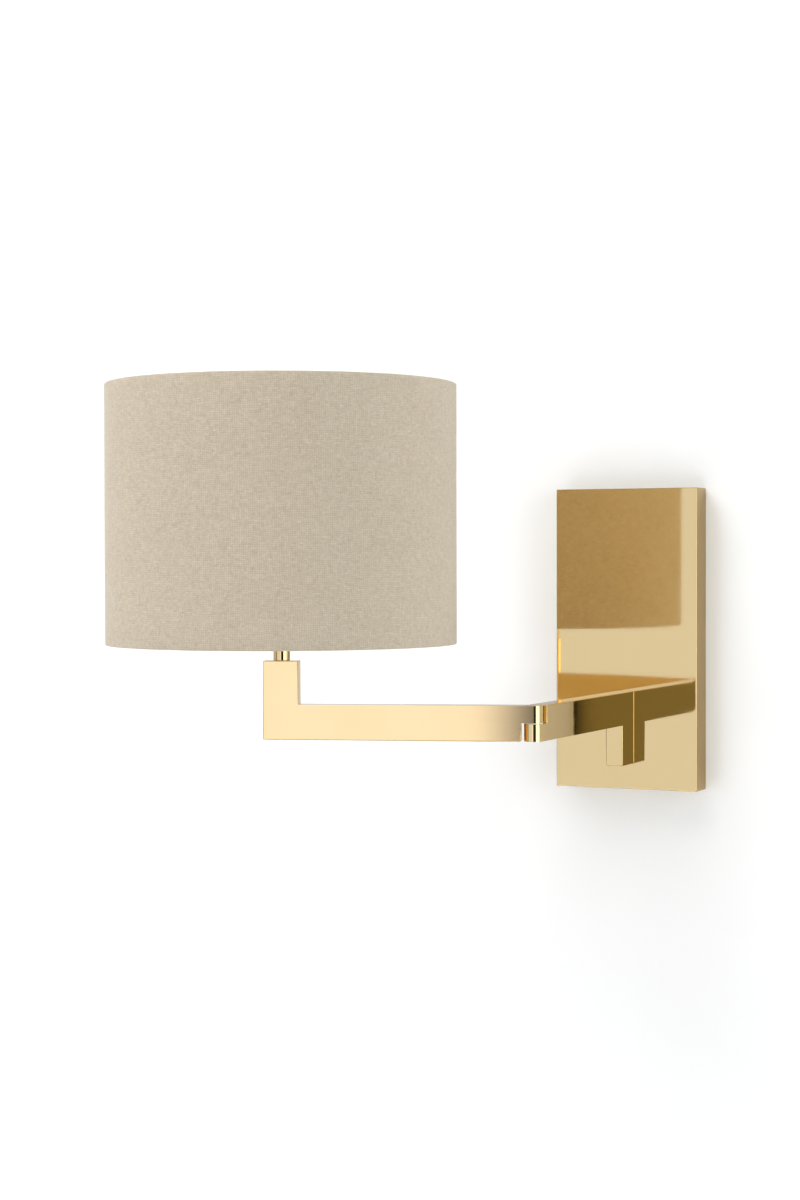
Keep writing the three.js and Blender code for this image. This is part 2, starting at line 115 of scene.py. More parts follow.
class Look:
    """A procedural material: its principled shader, and short calls that add nodes to it."""

    def __init__(self, name, color, roughness, metallic=0.0, **sockets):
        self.material = bpy.data.materials.new(name)
        self.material.use_nodes = True
        self.tree = self.material.node_tree
        self.shader = self.tree.nodes["Principled BSDF"]
        self.shader.inputs["Base Color"].default_value = (*color, 1)
        self.shader.inputs["Roughness"].default_value = roughness
        self.shader.inputs["Metallic"].default_value = metallic
        for key, value in sockets.items():
            self.shader.inputs[key.replace("_", " ")].default_value = value

    def add(self, kind, inputs=None, **settings):
        """A new node. Each input is a number, a colour or another node's output."""
        node = self.tree.nodes.new(kind)
        for key, value in settings.items():
            setattr(node, key, value)
        for key, value in (inputs or {}).items():
            if isinstance(value, bpy.types.NodeSocket):
                self.tree.links.new(value, node.inputs[key])
            else:
                node.inputs[key].default_value = value
        return node

    def set(self, socket, value):
        self.tree.links.new(value, self.shader.inputs[socket])

    def math(self, operation, first, second=0.0):
        return self.add("ShaderNodeMath", {0: first, 1: second}, operation=operation).outputs[0]

    def place(self, scale=(1, 1, 1)):
        """The piece's own coordinates, in metres, times a scale."""
        coordinates = self.add("ShaderNodeTexCoord").outputs["Object"]
        return self.add("ShaderNodeMapping", {"Vector": coordinates, "Scale": scale}).outputs[0]

    def noise(self, vector, scale=1.0, detail=2.0, roughness=0.5):
        inputs = {"Vector": vector, "Scale": scale, "Detail": detail, "Roughness": roughness}
        return self.add("ShaderNodeTexNoise", inputs).outputs["Fac"]

    def between(self, value, low, high, from_low=0.3, from_high=0.7):
        """Stretches the middle of a noise, or another range, to low and high."""
        inputs = {"Value": value, "From Min": from_low, "From Max": from_high, "To Min": low, "To Max": high}
        return self.add("ShaderNodeMapRange", inputs).outputs[0]

    def mix(self, factor, first, second):
        node = self.add("ShaderNodeMix", data_type="RGBA")
        for index, value in ((MIX_FACTOR, factor), (MIX_FIRST, first), (MIX_SECOND, second)):
            socket = node.inputs[index]
            if isinstance(value, bpy.types.NodeSocket):
                self.tree.links.new(value, socket)
            else:
                socket.default_value = value if socket.type == "VALUE" else (*value, 1)
        return node.outputs[MIX_RESULT]

    def flat(self, x, y):
        """A point in a plane, for noise that follows two numbers only."""
        return self.add("ShaderNodeCombineXYZ", {"X": x, "Y": y, "Z": 0.0}).outputs[0]

    def bump(self, height, distance, strength=1.0):
        inputs = {"Height": height, "Distance": distance, "Strength": strength}
        self.set("Normal", self.add("ShaderNodeBump", inputs).outputs[0])


BRASS = {"deep": (0.775, 0.548, 0.235), "middle": (0.79, 0.56, 0.235), "light": (0.80, 0.578, 0.265)}


def polished_brass():
    """A mirror polish: faint clouds of colour, long wiping marks, handled patches and slow waves."""
    look = Look("polished_brass", BRASS["middle"], 0.05, 1.0)
    clouds = look.noise(look.place(), 28, 3)
    look.set("Base Color", look.mix(clouds, BRASS["deep"], BRASS["light"]))
    wiping = look.between(look.noise(look.place((40, 40, 900)), 1, 3, 0.6), 0.03, 0.055)
    handling = look.between(look.noise(look.place(), 55, 4, 0.6), 0.8, 1.35)
    look.set("Roughness", look.math("MULTIPLY", wiping, handling))
    waves = look.noise(look.place((14, 14, 14)), 1, 1)
    look.bump(waves, 0.06 * MM)
    return look.material


LINEN = {
    "pitch": 1.2 * MM,
    "slubs": 240,
    "nubs": 850,
    "patches": 24,
    "wandering": 60,
    "painted_shade_share": 0.75,
    "deep": (0.435, 0.36, 0.262),
    "middle": (0.51, 0.43, 0.33),
    "light": (0.595, 0.508, 0.395),
    # The last tone is painted shade, laid in the gaps between the threads' crowns.
    "painted_gap_shade": (0.335, 0.275, 0.20),
}


def linen():
    """Plain-weave cloth round the shade's axis: u runs round the drum and v up it, in metres.

    LINEN gives the threads' pitch, the tones, how many slubs, nubs, patches and bends lie in a metre, and how
    much painted shade darkens the gaps between the threads' crowns, with its dark tone.
    """
    look = Look("slub_linen", LINEN["middle"], 0.92, Sheen_Weight=0.15, Sheen_Roughness=0.5, Specular_IOR_Level=0.25)
    parts = look.add("ShaderNodeSeparateXYZ", {0: look.add("ShaderNodeTexCoord").outputs["Object"]}).outputs
    u = look.math("MULTIPLY", look.math("ARCTAN2", parts["Y"], parts["X"]), shade_radius)
    v = parts["Z"]
    cloth_point = look.flat(u, v)
    drift = look.noise(cloth_point, LINEN["wandering"], 2)

    def threads_to(distance, sway):
        """How many threads lie before a distance. The drift makes them wander by up to that many threads."""
        count = look.math("MULTIPLY", distance, 1 / LINEN["pitch"])
        return look.math("ADD", count, look.math("MULTIPLY", drift, sway))

    def wave(count):
        return look.math("SINE", look.math("MULTIPLY", count, math.pi))

    def thread_number(count):
        """One number for all of a thread, far enough from the next thread's for its own noise."""
        return look.math("MULTIPLY", look.math("FLOOR", count), 5.3)

    across, upward = threads_to(u, 2.0), threads_to(v, 3.0)
    warp, weft = wave(across), wave(upward)
    over = look.between(look.math("MULTIPLY", warp, weft), 0, 1, -0.2, 0.2)
    crowns = {MIX_FACTOR: over, 2: look.math("ABSOLUTE", weft), 3: look.math("ABSOLUTE", warp)}
    relief = look.add("ShaderNodeMix", crowns).outputs[0]

    weft_slub = look.noise(look.flat(look.math("MULTIPLY", u, LINEN["slubs"]), thread_number(upward)), 1, 2, 0.6)
    warp_slub = look.noise(look.flat(thread_number(across), look.math("MULTIPLY", v, LINEN["slubs"])), 1, 2, 0.6)
    slubs = look.math("ADD", look.between(weft_slub, -0.5, 0.5), look.between(warp_slub, -0.35, 0.35))
    slubs = look.math("ADD", slubs, look.between(look.noise(cloth_point, LINEN["nubs"], 1), -0.25, 0.25))
    patches = look.between(look.noise(cloth_point, LINEN["patches"], 3), -0.08, 0.08)
    shade = look.between(look.math("ADD", slubs, patches), 0, 1, -0.9, 0.9)
    tone = look.mix(shade, LINEN["deep"], LINEN["light"])
    # Painted shade: the tone darkens towards the gaps between the threads' crowns.
    tone_with_painted_gap_shade = look.mix(look.between(relief, 0, 1, 0.0, 0.6), LINEN["painted_gap_shade"], tone)
    look.set("Base Color", look.mix(LINEN["painted_shade_share"], tone, tone_with_painted_gap_shade))
    look.bump(look.math("ADD", relief, look.math("MULTIPLY", slubs, 0.6)), 0.12 * MM, 0.7)
    return look.material


def grained(name, color, roughness, metallic, grain, depth, contrast, stretch=(1, 1, 1), **sockets):
    """A moulded, plated or drawn finish: fine grain, a little colour drift and uneven gloss.

    grain is in grains per metre, depth is the bump's and contrast is the drift's share of the colour.
    """
    look = Look(name, color, roughness, metallic, **sockets)
    soft = look.noise(look.place(), 90, 3)
    dark = [channel * (1 - contrast) for channel in color]
    light = [min(1, channel * (1 + contrast)) for channel in color]
    look.set("Base Color", look.mix(soft, dark, light))
    fine = look.noise(look.place(tuple(grain * s for s in stretch)), 1, 3, 0.6)
    look.set("Roughness", look.between(fine, roughness * 0.85, roughness * 1.2))
    look.bump(fine, depth)
    return look.material


brass = polished_brass()
cloth = linen()
zinc = grained("zinc_plate", (0.60, 0.61, 0.62), 0.34, 1, 500, 0.03 * MM, 0.06, (1, 1, 0.15))
spring_steel = grained("spring_steel", (0.42, 0.42, 0.43), 0.3, 1, 700, 0.02 * MM, 0.08)
contact = grained("contact_brass", (0.70, 0.52, 0.26), 0.24, 1, 700, 0.02 * MM, 0.08)
tin = grained("bulb_cap_tin", (0.72, 0.72, 0.74), 0.27, 1, 700, 0.02 * MM, 0.05)
ivory_wire = grained("ivory_powder_coat", (0.83, 0.80, 0.73), 0.5, 0, 1400, 0.06 * MM, 0.05)
moulded = grained("cream_moulding", (0.84, 0.81, 0.73), 0.42, 0, 1200, 0.03 * MM, 0.04)
glazed = grained("glazed_ceramic", (0.90, 0.88, 0.83), 0.18, 0, 160, 0.05 * MM, 0.03, Coat_Weight=0.5)
sheath = grained("cable_sheath", (0.76, 0.72, 0.64), 0.5, 0, 900, 0.03 * MM, 0.05)
black_rubber = grained("black_rubber", (0.035, 0.034, 0.033), 0.7, 0, 800, 0.04 * MM, 0.2)
backing = grained("shade_backing", (0.86, 0.83, 0.76), 0.55, 0, 500, 0.03 * MM, 0.025)
frosted = grained("frosted_bulb", (0.90, 0.89, 0.86), 0.28, 0, 1800, 0.02 * MM, 0.02, Coat_Weight=0.3)

NODE_LOOKS = {
    zinc: ["wall_strap", "cover_screw_top", "cover_screw_bottom", "arm_backing_plate", "arm_screw_upper",
           "arm_screw_lower", "terminal_screw_1", "terminal_screw_2", "terminal_screw_3", "base_lock_nut",
           "threaded_tube"],
    spring_steel: ["pivot_pin", "spring_washer", "retaining_clip"],
    contact: ["earth_screw", "centre_contact"],
    moulded: ["terminal_block", "friction_washer"],
    glazed: ["lampholder_insert"],
    sheath: ["supply_cable", "lamp_cable"],
    black_rubber: ["cable_bush"],
}
for look_of_nodes, names in NODE_LOOKS.items():
    for name in names:
        data = frame["nodes"][name].data
        data.materials.clear()
        data.materials.append(look_of_nodes)

# ---------------------------------------------------------------- mesh helpers

CAD_JOIN = 0.002 * MM
ROW_JOIN = 0.0001 * MM
ROD_JOIN = 0.0002 * MM
FLAT_WITHIN = math.radians(0.6)
SHARP_OVER = math.radians(40)


def add_piece(name, mesh, material, body, replaced=(), place=(0, 0, 0)):
    piece = bpy.data.objects.new(name, mesh)
    bpy.context.scene.collection.objects.link(piece)
    mesh.materials.clear()
    mesh.materials.append(material)
    piece.location = place
    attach(piece, body)
    if replaced:
        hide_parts(*replaced)
    return piece


def smooth(mesh, sharp_degrees=35):
    mesh.polygons.foreach_set("use_smooth", [True] * len(mesh.polygons))
    mesh.set_sharp_from_angle(angle=math.radians(sharp_degrees))
    mesh.update()


def whole(node):
    """A bmesh of a CAD node with shared corners joined and each flat face in one polygon."""
    shape = bmesh.new()
    shape.from_mesh(frame["nodes"][node].data)
    bmesh.ops.remove_doubles(shape, verts=shape.verts, dist=CAD_JOIN)
    bmesh.ops.dissolve_limit(shape, angle_limit=FLAT_WITHIN, verts=shape.verts, edges=shape.edges)
    return shape


def mark_edges(shape, width):
    """Marks the outer edges that have room for a rounding of that width. Other sharp edges stay sharp."""
    marks = shape.edges.layers.float.new("bevel_weight_edge")
    room = 1.1 * width
    for edge in shape.edges:
        if edge.calc_face_angle(0) <= SHARP_OVER:
            continue
        shortest = min(other.calc_length() for vertex in edge.verts for other in vertex.link_edges)
        if edge.is_convex and shortest > room:
            edge[marks] = 1
        else:
            edge.smooth = False


def bevelled(node, width, body, change=None):
    """A fine copy of a brass CAD node: its sharp edges are rounded over to the given width."""
    shape = whole(node)
    if change:
        change(shape)
        bmesh.ops.remove_doubles(shape, verts=shape.verts, dist=CAD_JOIN)
    mark_edges(shape, width)
    mesh = bpy.data.meshes.new(f"{node}_fine")
    shape.to_mesh(mesh)
    shape.free()
    mesh.polygons.foreach_set("use_smooth", [True] * len(mesh.polygons))
    piece = add_piece(f"{node}_fine", mesh, brass, body, [node])
    bevel = piece.modifiers.new("edges", "BEVEL")
    bevel.width = width
    bevel.segments = 3
    bevel.limit_method = "WEIGHT"
    bevel.use_clamp_overlap = False
    normals = piece.modifiers.new("flat_faces", "WEIGHTED_NORMAL")
    normals.weight = 90
    normals.keep_sharp = True
    return piece


def grid_mesh(name, rows, closed_rows=False):
    """A mesh from rows of points; each row is a closed loop, and closed_rows joins the last row to the first."""
    points = np.array(rows, float)
    row_count, around = points.shape[:2]
    faces = []
    for row in range(row_count if closed_rows else row_count - 1):
        here, above = row * around, (row + 1) % row_count * around
        faces += [(here + i, here + (i + 1) % around, above + (i + 1) % around, above + i) for i in range(around)]
    mesh = bpy.data.meshes.new(name)
    mesh.from_pydata([tuple(p) for p in points.reshape(-1, 3)], [], faces)
    mesh.validate()
    return mesh


def cleaned(mesh, join, sharp_degrees=35):
    """Joins a mesh's points that meet, drops edges left without a face, and turns its faces outward."""
    shape = bmesh.new()
    shape.from_mesh(mesh)
    bmesh.ops.remove_doubles(shape, verts=shape.verts, dist=join)
    bmesh.ops.delete(shape, geom=[edge for edge in shape.edges if not edge.link_faces], context="EDGES")
    bmesh.ops.recalc_face_normals(shape, faces=shape.faces)
    shape.to_mesh(mesh)
    shape.free()
    smooth(mesh, sharp_degrees)
    return mesh


def turned_mesh(name, profile, around=96, centre=Vector((0, 0, 0)), shift=None):
    """Turns a closed profile of (radius, z) points round a vertical axis.

    shift(radius, z, turn) is added to a point's radius; turn runs from 0 to 1 round the axis.
    """
    rows = []
    for radius, z in profile:
        row = []
        for step in range(around):
            turn = step / around
            angle = arm_angle + 2 * math.pi * turn
            r = radius + (shift(radius, z, turn) if shift else 0)
            row.append((centre.x + r * math.cos(angle), centre.y + r * math.sin(angle), centre.z + z))
        rows.append(row)
    return cleaned(grid_mesh(name, rows, closed_rows=True), ROW_JOIN)


def rod_mesh(name, points, radius, sides=16, closed=False):
    """A round wire along a list of points; an open one has rounded ends."""
    path = [Vector(point) for point in points]
    count = len(path)
    rings = []
    for i, point in enumerate(path):
        before = path[i - 1] if closed or i else point
        after = path[(i + 1) % count] if closed or i < count - 1 else point
        along = (after - before).normalized()
        out = along.cross(Vector((0, 0, 1))).normalized()
        rings.append((point, along, out, out.cross(along), radius))
    if not closed:
        dome = [math.pi * step / 8 for step in (1, 2, 3, 4)]
        for end, sign in ((0, -1), (-1, 1)):
            point, along, out, up, _ = rings[end]
            cap = [(point + along * sign * radius * math.sin(t), along, out, up, max(radius * math.cos(t), ROW_JOIN))
                   for t in dome]
            rings = cap[::-1] + rings if sign < 0 else rings + cap
    turns = [2 * math.pi * step / sides for step in range(sides)]
    rows = [[tuple(point + out * r * math.cos(t) + up * r * math.sin(t)) for t in turns]
            for point, _, out, up, r in rings]
    return cleaned(grid_mesh(name, rows, closed_rows=closed), ROW_JOIN if closed else ROD_JOIN)


def arc(centre, radius, start, end, steps):
    """Points (radius, z) of an arc in a profile, angles in degrees from the outward direction."""
    turns = [math.radians(start + (end - start) * step / steps) for step in range(steps + 1)]
    return [(centre[0] + radius * math.cos(turn), centre[1] + radius * math.sin(turn)) for turn in turns]


def cubic(ends, t, pull=1.0):
    """A point (radius, z) on a cubic curve from the first end to the last; pull weighs the two between."""
    weights = ((1 - t) ** 3, 3 * t * (1 - t) ** 2 * pull, 3 * t * t * (1 - t) * pull, t ** 3)
    total = sum(weights)
    return tuple(sum(w * end[i] for w, end in zip(weights, ends)) / total for i in (0, 1))


# ---------------------------------------------------------------- brass

ROLL_OFF = {"width": 3.2 * MM, "slope": 0.03, "steps": 4}
FACE_WITHIN = 0.01 * MM


def rolled_off(shape):
    """Polishing takes a little more off the plate's face near its edges, so the face rolls off there."""
    width, steps = ROLL_OFF["width"], ROLL_OFF["steps"]
    for step in range(1, steps + 1):
        inset = width * step / steps
        for axis in (0, 2):
            for place in (plate_low[axis] + inset, plate_high[axis] - inset):
                through, across = Vector((0, 0, 0)), Vector((0, 0, 0))
                through[axis], across[axis] = place, 1
                cut = shape.verts[:] + shape.edges[:] + shape.faces[:]
                bmesh.ops.bisect_plane(shape, geom=cut, plane_co=through, plane_no=across)
    for vertex in shape.verts:
        x, y, z = vertex.co
        if y < plate_low.y + FACE_WITHIN:
            to_edge = min(x - plate_low.x, plate_high.x - x, z - plate_low.z, plate_high.z - z)
            vertex.co.y += ROLL_OFF["slope"] * width * max(0, 1 - to_edge / width) ** 2 / 2


bevelled("backplate_cover", 0.35 * MM, WALL_SIDE, rolled_off)
bevelled("wall_arm", 0.6 * MM, WALL_SIDE)
bevelled("lamp_arm", 0.6 * MM, LAMP_SIDE)
bevelled("neck_sleeve", 0.25 * MM, LAMP_SIDE)
bevelled("upper_pivot_cap", 0.3 * MM, LAMP_SIDE)
bevelled("lower_pivot_cap", 0.3 * MM, WALL_SIDE)

# ---------------------------------------------------------------- shade

SKIN = 0.5 * MM
TURN_IN = 4.2 * MM
SEAM = {"angle": arm_angle - math.radians(60), "lap": 11 * MM, "step": 0.45 * MM, "fold": 0.12 * MM}
ROUND_STEPS = 384
RIPPLE = 0.04 * MM
SLACK = 0.05 * MM


def shade_profile():
    """The cloth's middle surface, from the bottom turn-in, round both hoops, to the top turn-in."""
    out = shade_radius - SKIN / 2
    hoop_z = hoop_low.z + wire_radius
    wrap = wire_radius + SKIN / 2 + SLACK
    edge = shade_top - SKIN / 2
    corner = 0.5 * MM
    top = [(out, z) for z in np.linspace(shade_axis.z, edge - corner, 10)]
    top += arc((out - corner, edge - corner), corner, 0, 90, 4)[1:]
    top += [(hoop_radius + wrap * 0.3, edge), (hoop_radius, edge - SLACK)]
    top += arc((hoop_radius, hoop_z), edge - SLACK - hoop_z, 100, 190, 6)
    top += [(hoop_radius - wrap + 0.2 * MM, hoop_z - TURN_IN * 0.5), (hoop_radius - wrap * 0.7, hoop_z - TURN_IN)]
    low = [(radius, 2 * shade_axis.z - z) for radius, z in top]
    return low[::-1] + top[1:]


def seam_lift(turned_on):
    """How far the cloth stands out where its end is lapped over its start, by the angle past the seam."""
    along = turned_on * shade_radius
    if along > SEAM["lap"]:
        return 0
    return SEAM["step"] * (1 - 0.35 * along / SEAM["lap"])


def ripple(angle, z):
    """The cloth isn't perfectly round: a faint unevenness runs round it and drifts with height."""
    return RIPPLE * (math.sin(3 * angle + 40 * z) + math.sin(7 * angle - 25 * z + 1) * 0.6)


def shade_skin():
    fold = SEAM["fold"] / shade_radius
    lap = SEAM["lap"] / shade_radius
    even = [lap + (2 * math.pi - lap) * step / ROUND_STEPS for step in range(1, ROUND_STEPS)]
    turns = [0, fold, lap / 3, lap * 2 / 3, lap, lap + fold] + even
    rows = []
    for radius, z in shade_profile():
        row = []
        for turn in turns:
            angle = SEAM["angle"] + turn
            r = radius + ripple(angle, z)
            if turn and radius > hoop_radius:
                r += seam_lift(turn)
            row.append((r * math.cos(angle), r * math.sin(angle), z - shade_bottom))
        rows.append(row)
    mesh = grid_mesh("shade_cloth", rows)
    smooth(mesh, 60)
    piece = add_piece("shade_cloth", mesh, cloth, LAMP_SIDE, ["shade_fabric"], at_lamp(shade_bottom))
    thick = piece.modifiers.new("thickness", "SOLIDIFY")
    thick.thickness = SKIN
    thick.offset = 0
    return piece


skin = shade_skin()


def shade_liner():
    """The stiff backing inside the cloth, a little short of it at both rims."""
    low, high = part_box("shade_liner")
    outer = (high.y - low.y) / 2
    inner = outer - 0.5 * MM
    ends = (low.z + 1.2 * MM, high.z - 1.2 * MM)
    wall = np.linspace(low.z + 3 * MM, high.z - 3 * MM, 9)
    profile = [(inner, ends[0]), (outer, ends[0])] + [(outer, z) for z in wall]
    profile += [(outer, ends[1]), (inner, ends[1])] + [(inner, z) for z in wall[::-1]]
    mesh = turned_mesh("shade_liner_fine", profile, 192, at_lamp())
    return add_piece("shade_liner_fine", mesh, backing, LAMP_SIDE, ["shade_liner"])


shade_liner()

# ---------------------------------------------------------------- wire frames


low_hoop_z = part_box("shade_lower_frame")[0].z + wire_radius
carrier_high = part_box("shade_lower_frame")[1].z
CARRIER = {"inner": 19.4 * MM, "outer": 25 * MM, "thickness": 1.5 * MM, "corner": 0.5 * MM}
SPOKE = {"radius": 1.2 * MM, "start": 22.6 * MM, "bend": 27 * MM, "steps": 40, "pull": 0.25}


def outward(angle):
    return Vector((math.cos(angle), math.sin(angle), 0))


def wire_piece(name, mesh, node):
    return add_piece(name, mesh, ivory_wire, LAMP_SIDE, [node])


def hoop(name, z, node, count=180):
    points = [at_lamp(z) + hoop_radius * outward(arm_angle + 2 * math.pi * step / count) for step in range(count)]
    return wire_piece(name, rod_mesh(name, points, wire_radius, closed=True), node)


def rounded_ring(inner, outer, low, high, corner, steps=4):
    """A ring's closed profile with all four corners rounded."""
    profile = arc((outer - corner, low + corner), corner, -90, 0, steps)
    profile += arc((outer - corner, high - corner), corner, 0, 90, steps)
    profile += arc((inner + corner, high - corner), corner, 90, 180, steps)
    return profile + arc((inner + corner, low + corner), corner, 180, 270, steps)


def carrier_ring(name):
    low = carrier_high - CARRIER["thickness"]
    profile = rounded_ring(CARRIER["inner"], CARRIER["outer"], low, carrier_high, CARRIER["corner"])
    return wire_piece(name, turned_mesh(name, profile, 96, at_lamp()), "shade_lower_frame")


def spoke(name, angle):
    """A wire from under the carrier's rim, sloping down to a weld on the lower hoop."""
    start_z = carrier_high - CARRIER["thickness"] / 2
    ends = [(SPOKE["start"], start_z), (SPOKE["bend"], start_z), (hoop_radius - 5 * MM, low_hoop_z + 1.0 * MM),
            (hoop_radius - 0.4 * MM, low_hoop_z + 0.3 * MM)]
    points = []
    for step in range(SPOKE["steps"] + 1):
        radius, z = cubic(ends, step / SPOKE["steps"], SPOKE["pull"])
        points.append(at_lamp(z) + radius * outward(angle))
    return wire_piece(name, rod_mesh(name, points, SPOKE["radius"]), "shade_lower_frame")


hoop("shade_upper_hoop_fine", hoop_low.z + wire_radius, "shade_upper_hoop")
hoop("shade_lower_hoop_fine", low_hoop_z, "shade_lower_frame")
carrier_ring("shade_carrier_fine")
for spoke_index in range(3):
    spoke(f"shade_spoke_{spoke_index + 1}", arm_angle + spoke_index * 2 * math.pi / 3)

# ---------------------------------------------------------------- lampholder

EDISON_PITCH = 3.62 * MM
SKIRT_PITCH = 2.8 * MM
HOLDER_RADIUS = 19 * MM
SAME_RADIUS = 0.01 * MM


def holder_piece(node, profile, around, material, shift=None):
    """Stands in for a CAD node of the lampholder or bulb: a profile turned round the lamp's axis."""
    mesh = turned_mesh(f"{node}_fine", profile, around, at_lamp(), shift)
    return add_piece(f"{node}_fine", mesh, material, LAMP_SIDE, [node])


def thread(pitch, depth, low, high, radius=None):
    """A rounded screw thread between two heights, fading in and out over one pitch.

    With a radius, only the surface at that radius is threaded.
    """
    def shift(r, z, turn):
        if radius and abs(r - radius) >= SAME_RADIUS:
            return 0
        fade = min(1, max(0, (z - low) / pitch), max(0, (high - z) / pitch))
        return -fade * depth * (0.5 - 0.5 * math.cos(2 * math.pi * (z / pitch - turn)))
    return shift


def levels(low, high, step):
    """Evenly spread heights, close to a step apart."""
    return np.linspace(low, high, max(2, round((high - low) / step)))


def lampholder_skirt():
    """The holder's outer sleeve: a flange below, and the thread that the shade ring screws on."""
    low_corner, high_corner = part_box("lampholder_skirt")
    low, high, flange = low_corner.z, high_corner.z, (high_corner.x - low_corner.x) / 2
    radius, inner, seat, corner = HOLDER_RADIUS, 17.6 * MM, low + 2 * MM, 0.6 * MM
    profile = [(inner, low)] + arc((flange - corner, low + corner), corner, -90, 0, 4)
    profile += arc((flange - corner, seat - corner), corner, 0, 90, 4)
    profile += [(radius, z) for z in levels(seat + 0.05 * MM, high - 0.5 * MM, 0.28 * MM)]
    profile += [(radius - 0.4 * MM, high), (inner + 0.3 * MM, high), (inner, high - 0.4 * MM)]
    cut = thread(SKIRT_PITCH, 0.9 * MM, seat + 1.5 * MM, high - 1 * MM, radius)
    return holder_piece("lampholder_skirt", profile, 96, moulded, cut)


def lampholder_base():
    """The holder's cup: a rounded foot, a flared shoulder and a wall with shallow finger flutes."""
    low, high = (corner.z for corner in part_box("lampholder_base"))
    hole, wall, radius = 4.1 * MM, 1.6 * MM, HOLDER_RADIUS
    flute_count, flute_depth, flute_fade = 24, 0.35 * MM, 1.4 * MM
    shoulder = low + 8 * MM
    profile = [(hole, low), (9 * MM, low), (10.2 * MM, low + 0.25 * MM), (11.5 * MM, low + 1.0 * MM)]
    profile += [(radius - 1.6 * MM, shoulder - 1.5 * MM), (radius - 0.5 * MM, shoulder - 0.5 * MM)]
    profile += [(radius, z) for z in levels(shoulder + 0.6 * MM, high - 0.4 * MM, 0.8 * MM)]
    profile += [(radius - 0.4 * MM, high), (radius - wall, high), (radius - wall, shoulder + 0.6 * MM)]
    profile += [(9.4 * MM, low + wall), (hole, low + wall)]

    def flutes(r, z, turn):
        if r < radius - SAME_RADIUS:
            return 0
        fade = min(1, (z - shoulder) / flute_fade, (high - z) / flute_fade)
        return -flute_depth * max(0, fade) * max(0, math.cos(2 * math.pi * flute_count * turn)) ** 2

    return holder_piece("lampholder_base", profile, 240, moulded, flutes)


def shade_ring():
    """The ring that clamps the shade: rounded all round, with grips on its rim."""
    low, high = (corner.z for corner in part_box("shade_ring"))
    inner, outer, grip_count, grip_depth = 19.3 * MM, 23.5 * MM, 18, 0.9 * MM

    def grips(r, z, turn):
        return -grip_depth * max(0, math.cos(2 * math.pi * grip_count * turn)) ** 3 if r > outer - 1 * MM else 0

    profile = rounded_ring(inner, outer, low, high, 0.6 * MM)
    return holder_piece("shade_ring", profile, 288, moulded, grips)


def screw_shell():
    """The thin rolled thread inside the holder that takes the bulb's cap."""
    low, high = (corner.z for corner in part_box("screw_shell"))
    run = levels(low, high, 0.3 * MM)
    profile = [(14.5 * MM, z) for z in run] + [(14.1 * MM, z) for z in run[::-1]]
    return holder_piece("screw_shell", profile, 72, contact,
                        thread(EDISON_PITCH, 0.3 * MM, low, high))


def bulb_cap():
    """The lamp's screw cap: a rounded tip, an insulator's cone and a rolled thread."""
    low, high = (corner.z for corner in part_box("bulb_cap"))
    radius, shell = 13 * MM, low + 3.6 * MM
    profile = [(0, low), (3 * MM, low + 0.15 * MM), (4.6 * MM, low + 0.8 * MM), (5.4 * MM, low + 1.4 * MM)]
    profile += [(radius, z) for z in levels(shell, high - 0.1 * MM, 0.3 * MM)]
    profile += [(radius - 0.3 * MM, high), (radius - 1.2 * MM, high), (radius - 1.2 * MM, shell + 2 * MM)]
    profile += [(0, shell + 1 * MM)]
    roll = thread(EDISON_PITCH, 0.5 * MM, shell, high - 2 * MM, radius)
    return holder_piece("bulb_cap", profile, 72, tin, roll)


def bulb_glass():
    """A pear-shaped opal envelope: a neck that widens smoothly into a sphere."""
    low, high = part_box("bulb_glass")
    radius = (high.x - low.x) / 2
    neck, centre, wall, steps = 13.2 * MM, high.z - radius, 0.8 * MM, 28
    flare = ((neck, low.z), (neck + 0.8 * MM, low.z + 16 * MM), (radius - 0.6 * MM, centre - 22 * MM),
             (radius, centre))
    outside = [cubic(flare, step / steps) for step in range(steps)]
    outside += arc((0, centre), radius, 0, 89.9, steps)
    inside = [(max(0, r - wall), z - (wall if z > centre else 0)) for r, z in outside]
    return holder_piece("bulb_glass", outside + inside[::-1], 96, frosted)


for make in (lampholder_skirt, lampholder_base, shade_ring, screw_shell, bulb_cap, bulb_glass):
    make()

# ---------------------------------------------------------------- stage


WALL_Y = 0.4 * MM
FLOOR_Z = -1.1
ROOM = {"half_width": 4, "depth": 5, "top": 3}
OPENING_INSET = 4 * MM
DIMMED = 0.62


def one_sided(name, color, roughness):
    """A pale surface that is seen from its front only, so that a view from behind isn't blocked.

    The brass shows it dimmed, as a studio's walls are darker than the one that is lit for the picture.
    """
    look = Look(name, color, roughness, Specular_IOR_Level=0.1)
    plaster = look.mix(look.noise(look.place(), 6, 4), [c * 0.99 for c in color], color)
    in_brass = look.add("ShaderNodeLightPath").outputs["Is Glossy Ray"]
    look.set("Base Color", look.mix(in_brass, plaster, [c * DIMMED for c in color]))
    clear = look.add("ShaderNodeBsdfTransparent").outputs[0]
    behind = look.add("ShaderNodeNewGeometry").outputs["Backfacing"]
    both = look.add("ShaderNodeMixShader", {0: behind, 1: look.shader.outputs[0], 2: clear})
    look.tree.links.new(both.outputs[0], look.tree.nodes["Material Output"].inputs["Surface"])
    return look.material


def stage_mesh(name, corners, faces, material):
    mesh = bpy.data.meshes.new(name)
    mesh.from_pydata(corners, [], faces)
    mesh.materials.append(material)
    piece = bpy.data.objects.new(name, mesh)
    bpy.context.scene.collection.objects.link(piece)
    return piece


